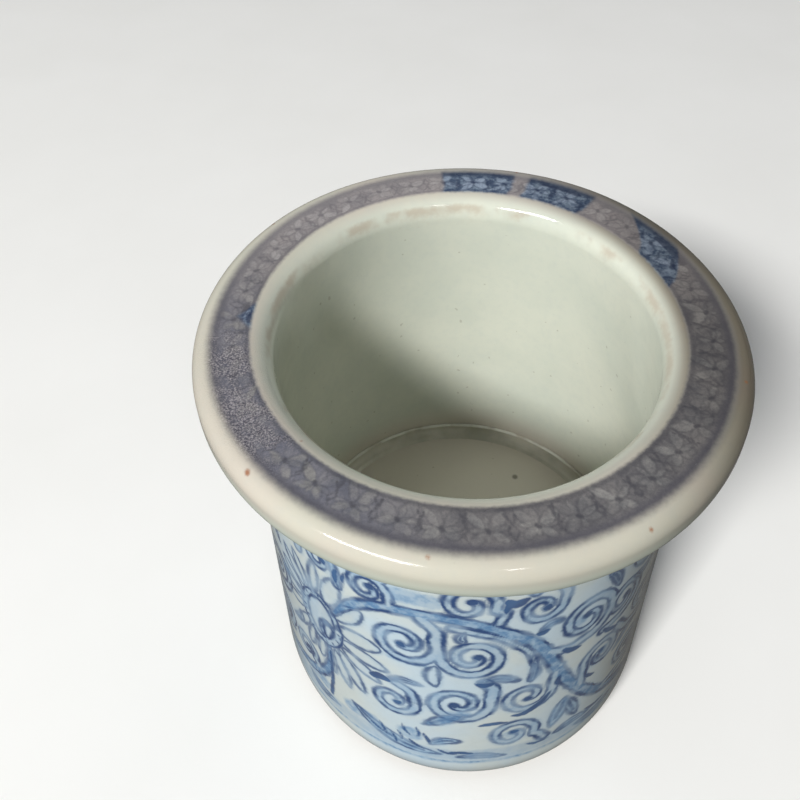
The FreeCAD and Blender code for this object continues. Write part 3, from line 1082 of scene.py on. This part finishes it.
glazes = {
    "body": body_glaze(),
    "rim": rim_glaze(),
    "inside": interior_glaze(),
    "coil": coil_glaze(),
    "clay": bare_clay(),
}


def chosen(*names):
    """The named glazes, in the order of a piece's material slots."""
    return {name: glazes[name] for name in names}


# ---------------- the five pieces

# Spacing of rows (mm) where there is painting and where nothing shows
FINE = 0.6
COARSE = 3.0

# The print is worked out this far down from the top. Below that, a larger radius is stored, so
# that the band isn't painted again on the underside.
PRINT_DEPTH = 4.5
OFF_BAND = 30


def make_rim():
    """The wide flange: flat printed top, rounded mouth and fat roll."""
    mouth = (MOUTH_RADIUS + MOUTH_ROUNDING, HEIGHT - MOUTH_ROUNDING)
    roll_top = (RIM_RADIUS - ROLL_TOP_ROUNDING, HEIGHT - ROLL_TOP_ROUNDING)
    roll_bottom = (RIM_RADIUS - ROLL_BOTTOM_ROUNDING, RIM_UNDERSIDE + ROLL_BOTTOM_ROUNDING)
    flange = Turned([
        ("clay", (MOUTH_RADIUS, SPIGOT_TOP), COARSE),
        ("clay", (SPIGOT_RADIUS, SPIGOT_TOP), COARSE),
        ("rim", (SPIGOT_RADIUS, RIM_UNDERSIDE), 1.5),
        ("rim", rounding(roll_bottom, ROLL_BOTTOM_ROUNDING, -90, 0, FINE)),
        ("rim", (RIM_RADIUS, roll_bottom[1]), FINE),
        ("rim", rounding(roll_top, ROLL_TOP_ROUNDING, 0, 90, 0.4)),
        ("rim", (roll_top[0], HEIGHT), 0.36),
        ("rim", rounding(mouth, MOUTH_ROUNDING, 90, 180, 0.45)),
        ("rim", (MOUTH_RADIUS, mouth[1]), 0.7),
    ], RIM_COLUMNS)
    piece = flange.build("rim_flange_glazed", chosen("rim", "clay"))
    radius, height = flange.section.T
    top = np.nonzero((height > HEIGHT - PRINT_DEPTH) & (radius > BAND_INNER - 3))[0]
    painting = Painting(RIM_COLUMNS, radius[top], BAND_GIRTH)
    paint_band(painting)
    painting.store(piece.data, top, len(radius))
    below = (height < HEIGHT - PRINT_DEPTH) & (radius > MOUTH_RADIUS + 1)
    radius_off_band = np.where(below, radius + OFF_BAND, radius)
    write_attribute(piece.data, "radius", np.repeat(radius_off_band, RIM_COLUMNS))
    return piece


def painted_piece(turned, name):
    """A piece with the scroll painted on the rows that carry the body's glaze."""
    piece = turned.build(name, chosen("body", "inside", "clay"))
    rows = turned.rows_of("body")
    painting = Painting(turned.columns, turned.section[rows, 1], WALL_GIRTH)
    paint_body(painting)
    painting.store(piece.data, rows, len(turned.section))
    return piece


def make_wall():
    """The thrown cylinder that carries the scroll, with a small cove under the rim."""
    cove = (WALL_RADIUS + COVE_RADIUS, RIM_UNDERSIDE - COVE_RADIUS)
    cylinder = Turned([
        ("clay", (CAVITY_FOOT_RADIUS, WALL_FOOT), COARSE),
        ("body", (WALL_RADIUS, WALL_FOOT), FINE),
        ("body", rounding(cove, COVE_RADIUS, 180, 90, 0.5)),
        ("clay", (cove[0], RIM_UNDERSIDE), COARSE),
        ("clay", (SPIGOT_RADIUS, RIM_UNDERSIDE), COARSE),
        ("clay", (SPIGOT_RADIUS, SPIGOT_TOP), COARSE),
        ("inside", (MOUTH_RADIUS, SPIGOT_TOP), COARSE),
        ("inside", (MOUTH_RADIUS, RIM_UNDERSIDE), 4),
    ], WALL_COLUMNS)
    return painted_piece(cylinder, "pot_wall_glazed")


def make_slab():
    """The floor: a raised glazed middle, a clay seat under the wall and a painted edge."""
    floor_edge = cavity_radius(FLOOR_HEIGHT)
    disc = Turned([
        ("clay", (0, SLAB_UNDERSIDE), 5),
        ("body", (WALL_RADIUS, SLAB_UNDERSIDE), FINE),
        ("clay", (WALL_RADIUS, WALL_FOOT), COARSE),
        ("clay", (CAVITY_FOOT_RADIUS, WALL_FOOT), COARSE),
        ("inside", (floor_edge, FLOOR_HEIGHT), 2),
        ("inside", np.array([(0, FLOOR_HEIGHT)])),
    ], WALL_COLUMNS, on_axis=True)
    piece = painted_piece(disc, "base_slab_glazed")
    close_poles(piece.data, disc)
    return piece


def make_foot():
    """The foot ring: glazed outside as far as the step, bare where the pot stands."""
    recess_top = RECESS_RADIUS - RECESS_DRAFT
    edge = FOOT_EDGE_ROUNDING
    heights = np.arange(FOOT_STEP_HEIGHT, SLAB_UNDERSIDE, FINE)
    curve = np.array([(foot_curve_radius(height), height) for height in heights])
    ring = Turned([
        ("clay", rounding((RECESS_RADIUS + edge, edge), edge, 180, 270, 0.4)),
        ("clay", (RECESS_RADIUS + edge, 0), 1.5),
        ("clay", rounding((FOOT_RADIUS - edge, edge), edge, 270, 360, 0.4)),
        ("clay", (FOOT_RADIUS, edge), 0.8),
        ("clay", (FOOT_RADIUS, FOOT_STEP_HEIGHT), 0.9),
        ("body", curve),
        ("clay", (WALL_RADIUS, SLAB_UNDERSIDE), COARSE),
        ("inside", (recess_top, SLAB_UNDERSIDE), 1.5),
    ], WALL_COLUMNS)
    return painted_piece(ring, "foot_ring_glazed")


def make_coil():
    """The coil in the inside corner: a low lip round the floor and a hollow curve up the wall."""
    lip_top = FLOOR_HEIGHT + COIL_LIP_HEIGHT
    curve_end = cavity_radius(COIL_TOP) - COIL_TOP_LAND
    inner = curve_end - COIL_CURVE_RADIUS
    bead = (curve_end + 0.1, COIL_TOP - 0.1)
    floor_corner = (cavity_radius(FLOOR_HEIGHT), FLOOR_HEIGHT)
    coil = Turned([
        ("clay", (inner - COIL_LIP_RUN, FLOOR_HEIGHT), 1),
        ("clay", straight(floor_corner, (cavity_radius(COIL_TOP), COIL_TOP), 1)),
        ("coil", rounding(bead, COIL_BEAD_RADIUS, 60, 200, 0.2)),
        ("coil", rounding((inner, COIL_TOP), COIL_CURVE_RADIUS, -15, -90, 0.4)),
        ("coil", (inner, lip_top), 0.3),
    ], PLAIN_COLUMNS)
    return coil.build("seam_coil_glazed", chosen("coil", "clay"))


def stands_for(piece, node):
    """Hides the CAD node that a piece replaces, and hangs the piece on the body it rides on."""
    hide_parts(node)
    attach(piece, BODY)


stands_for(make_rim(), "rim_flange")
stands_for(make_wall(), "pot_wall")
stands_for(make_slab(), "base_slab")
stands_for(make_foot(), "foot_ring")
stands_for(make_coil(), "seam_coil")


# ---------------- floor, lamps and camera

FLOOR_SIZE = 6.0
FLOOR_PALE = (srgb(238, 238, 236), srgb(245, 245, 244))
FLOOR_BOUNCE = srgb(114, 112, 108)

# The room's light goes from dim to bright with the direction towards the bright side
BRIGHT_SIDE = (-0.75, 0.35, 0.56)
ROOM_RANGE = {"From Min": -0.6, "From Max": 0.9, "To Min": 0.02, "To Max": 0.26}
ROOM_COLOUR = srgb(244, 247, 250)
BACKDROP = srgb(232, 233, 233)

# Lamps: name, azimuth from the front to the right and elevation (deg), distance, width and height
# (m), power (W), colour and what doesn't show it
WARM_WHITE = (1.0, 0.99, 0.965)
LAMPS = [
    ("key", -33, 42, 2.2, 0.50, 0.35, 58.0, WARM_WHITE, "visible_glossy"),
    ("glint", -38, 41, 2.1, 1.00, 0.27, 19.0, WARM_WHITE, "visible_diffuse"),
    ("fill", 140, 7, 2.2, 1.40, 0.90, 16.0, (0.97, 0.985, 1.0), "visible_glossy"),
    ("small_key", 17, 46, 2.2, 0.20, 0.14, 1.4, (1.0, 0.99, 0.97), None),
]


def make_floor():
    """A pale matt surface for the pot to stand on. It throws back little light, as a table would."""
    bpy.ops.mesh.primitive_plane_add(size=FLOOR_SIZE, location=(0, 0, 0))
    floor = bpy.context.object
    floor.name = "studio_floor"
    paper = Glaze("studio_paper")
    rays = paper.nodes.new("ShaderNodeLightPath")
    tint = paper.mix(paper.noise(60.0, 3.0), *FLOOR_PALE)
    tint = paper.mix(rays.outputs["Is Camera Ray"], FLOOR_BOUNCE, tint)
    paper.add_bump(paper.noise(1.5), 0.02)
    floor.data.materials.append(paper.finish(tint, paper.step(paper.noise(4.0), 0.3, 0.7, 0.85, 0.95)))


def add_softbox(name, azimuth_deg, elevation_deg, distance, width, height, power, colour, hidden_from):
    """A rectangular lamp aimed at the middle of the pot."""
    azimuth, elevation = math.radians(azimuth_deg), math.radians(elevation_deg)
    aim = Vector((0, 0, 0.5 * HEIGHT * MM))
    offset = Vector((math.sin(azimuth) * math.cos(elevation),
                     -math.cos(azimuth) * math.cos(elevation), math.sin(elevation)))
    lamp = bpy.data.lights.new(name, "AREA")
    lamp.shape = "RECTANGLE"
    lamp.size = width
    lamp.size_y = height
    lamp.energy = power
    lamp.color = colour
    holder = bpy.data.objects.new(name, lamp)
    holder.location = aim + distance * offset
    holder.rotation_euler = offset.to_track_quat("Z", "Y").to_euler()
    if hidden_from:
        setattr(holder, hidden_from, False)
    bpy.context.scene.collection.objects.link(holder)


def set_world():
    """Soft room light, brightest high on the left and towards the back, and a pale backdrop."""
    world = bpy.data.worlds.new("studio")
    world.use_nodes = True
    bpy.context.scene.world = world
    nodes, links = world.node_tree.nodes, world.node_tree.links
    place = nodes.new("ShaderNodeTexCoord")
    facing = nodes.new("ShaderNodeVectorMath")
    facing.operation = "DOT_PRODUCT"
    facing.inputs[1].default_value = BRIGHT_SIDE
    strength = nodes.new("ShaderNodeMapRange")
    strength.interpolation_type = "SMOOTHSTEP"
    for name, value in ROOM_RANGE.items():
        strength.inputs[name].default_value = value
    room = nodes["Background"]
    room.inputs["Color"].default_value = ROOM_COLOUR
    backdrop = nodes.new("ShaderNodeBackground")
    backdrop.inputs["Color"].default_value = BACKDROP
    rays = nodes.new("ShaderNodeLightPath")
    seen = nodes.new("ShaderNodeMixShader")
    for output, target in ((place.outputs["Generated"], facing.inputs[0]),
                           (facing.outputs["Value"], strength.inputs["Value"]),
                           (strength.outputs[0], room.inputs["Strength"]),
                           (rays.outputs["Is Camera Ray"], seen.inputs[0]),
                           (room.outputs[0], seen.inputs[1]),
                           (backdrop.outputs[0], seen.inputs[2]),
                           (seen.outputs[0], nodes["World Output"].inputs[0])):
        links.new(output, target)


# The camera stands close above the rim, a little left of the front. Its place is from the middle
# of the rim's top, in rim radii.
CAMERA_OFFSET = Vector((-0.2495, -2.3721, 2.3447))
CAMERA_ELEVATION_DEG = 41.34
CAMERA_ROLL_DEG = -0.84
CAMERA_LENS = 41.61
CAMERA_SHIFT = -0.1625
CAMERA_SENSOR = 36
CAMERA_CLIP_START = 0.01


def add_camera():
    """The camera, level from side to side but for a small roll, looking down at the rim."""
    elevation, roll = math.radians(CAMERA_ELEVATION_DEG), math.radians(CAMERA_ROLL_DEG)
    back = Vector((0, -math.cos(elevation), math.sin(elevation)))
    level = Vector((1, 0, 0))
    upright = Vector((0, math.sin(elevation), math.cos(elevation)))
    right = math.cos(roll) * level + math.sin(roll) * upright
    up = math.cos(roll) * upright - math.sin(roll) * level
    place = Vector((*RIM_LEAN, HEIGHT)) + CAMERA_OFFSET * RIM_RADIUS
    camera = bpy.data.cameras.new("camera")
    camera.lens = CAMERA_LENS
    camera.sensor_width = CAMERA_SENSOR
    camera.shift_y = CAMERA_SHIFT
    camera.clip_start = CAMERA_CLIP_START
    holder = bpy.data.objects.new("camera", camera)
    axes = Matrix((right, up, back)).transposed().to_4x4()
    holder.matrix_world = Matrix.Translation(place * MM) @ axes
    bpy.context.scene.collection.objects.link(holder)
    bpy.context.scene.camera = holder


make_floor()
for lamp in LAMPS:
    add_softbox(*lamp)
set_world()
add_camera()
bpy.context.scene.view_settings.view_transform = "Standard"
